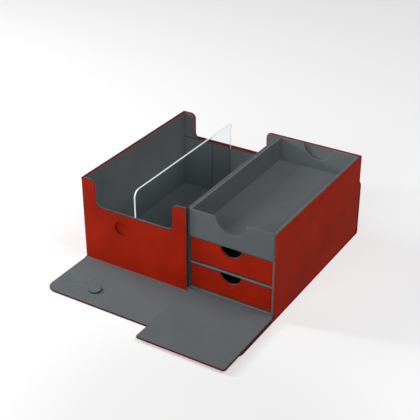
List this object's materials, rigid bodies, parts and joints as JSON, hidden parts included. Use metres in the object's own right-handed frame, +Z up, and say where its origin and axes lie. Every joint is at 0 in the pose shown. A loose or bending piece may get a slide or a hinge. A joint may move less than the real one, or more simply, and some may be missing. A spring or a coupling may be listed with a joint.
{
  "type": "trading card drawer box",
  "caption": "Open storage box for playing cards with a lift-out clear divider, notched drawers, a lift-out tray, a drop-down drawer door and folding front and back flaps.",
  "frame": {"origin": "centre of the base panel's underside", "axes": "+Z up, +Y from the front flap to the back, +X from the card box to the drawer unit"},
  "size_m": [0.29, 0.3715, 0.1245],
  "materials": {
    "leatherette": "fine-grained matte leatherette over board",
    "microfibre_lined_board": "matte microfibre lining over board",
    "clear_acrylic": "clear polished sheet"
  },
  "bodies": {
    "box": {"base_panel": "leatherette", "card_box_front_cover": "leatherette", "card_box_back_cover": "leatherette", "card_box_left_cover": "leatherette", "front_recess_cup": "leatherette", "back_recess_cup": "leatherette", "drawer_unit_right_cover": "leatherette", "drawer_unit_back_cover": "leatherette", "front_hinge_strip": "microfibre_lined_board", "back_hinge_strip": "microfibre_lined_board", "card_box_front_board": "microfibre_lined_board", "card_box_back_board": "microfibre_lined_board", "card_box_left_board": "microfibre_lined_board", "card_box_right_board": "microfibre_lined_board", "card_box_floor": "microfibre_lined_board", "front_guide_left": "microfibre_lined_board", "front_guide_middle": "microfibre_lined_board", "front_guide_right": "microfibre_lined_board", "back_guide_left": "microfibre_lined_board", "back_guide_middle": "microfibre_lined_board", "back_guide_right": "microfibre_lined_board", "drawer_unit_underlay": "microfibre_lined_board", "drawer_unit_floor": "microfibre_lined_board", "drawer_unit_shelf": "microfibre_lined_board", "drawer_unit_deck": "microfibre_lined_board", "drawer_unit_right_board": "microfibre_lined_board", "drawer_unit_back_board": "microfibre_lined_board"},
    "divider": {"divider": "clear_acrylic"},
    "drawer_door": {"drawer_door_cover": "leatherette", "drawer_door_lining": "microfibre_lined_board"},
    "front_flap": {"front_flap_cover": "leatherette", "front_flap_lining": "microfibre_lined_board", "front_flap_button": "microfibre_lined_board"},
    "back_flap": {"back_flap_cover": "leatherette", "back_flap_lining": "microfibre_lined_board", "back_flap_button": "microfibre_lined_board"},
    "lower_drawer": {"lower_drawer_front_cover": "leatherette", "lower_drawer_front_board": "microfibre_lined_board", "lower_drawer_floor": "microfibre_lined_board", "lower_drawer_left_side": "microfibre_lined_board", "lower_drawer_right_side": "microfibre_lined_board", "lower_drawer_back": "microfibre_lined_board"},
    "upper_drawer": {"upper_drawer_front_cover": "leatherette", "upper_drawer_front_board": "microfibre_lined_board", "upper_drawer_floor": "microfibre_lined_board", "upper_drawer_left_side": "microfibre_lined_board", "upper_drawer_right_side": "microfibre_lined_board", "upper_drawer_back": "microfibre_lined_board"},
    "tray": {"tray_front": "microfibre_lined_board", "tray_back": "microfibre_lined_board", "tray_left": "microfibre_lined_board", "tray_right": "microfibre_lined_board", "tray_floor": "microfibre_lined_board"}
  },
  "joints": [
    {"name": "drawer_door_hinge", "type": "hinge", "parent": "box", "child": "drawer_door", "pos_m": [0, -0.125, 0.00305], "axis": [-1, 0, 0], "range_deg": [0, 90]},
    {"name": "front_flap_hinge", "type": "hinge", "parent": "drawer_door", "child": "front_flap", "pos_m": [0, -0.125, 0.00305], "axis": [-1, 0, 0], "range_deg": [-90, 0]},
    {"name": "back_flap_hinge", "type": "hinge", "parent": "box", "child": "back_flap", "pos_m": [0, 0.125, 0.00305], "axis": [-1, 0, 0], "range_deg": [0, 90]},
    {"name": "lower_drawer_slide", "type": "slide", "parent": "box", "child": "lower_drawer", "axis": [0, 1, 0], "range_m": [-0.185, 0]},
    {"name": "upper_drawer_slide", "type": "slide", "parent": "box", "child": "upper_drawer", "axis": [0, 1, 0], "range_m": [-0.185, 0]},
    {"name": "tray_lift", "type": "slide", "parent": "box", "child": "tray", "axis": [0, 0, 1], "range_m": [0, 0.045]},
    {"name": "divider_lift", "type": "slide", "parent": "box", "child": "divider", "axis": [0, 0, 1], "range_m": [0, 0.122]}
  ]
}
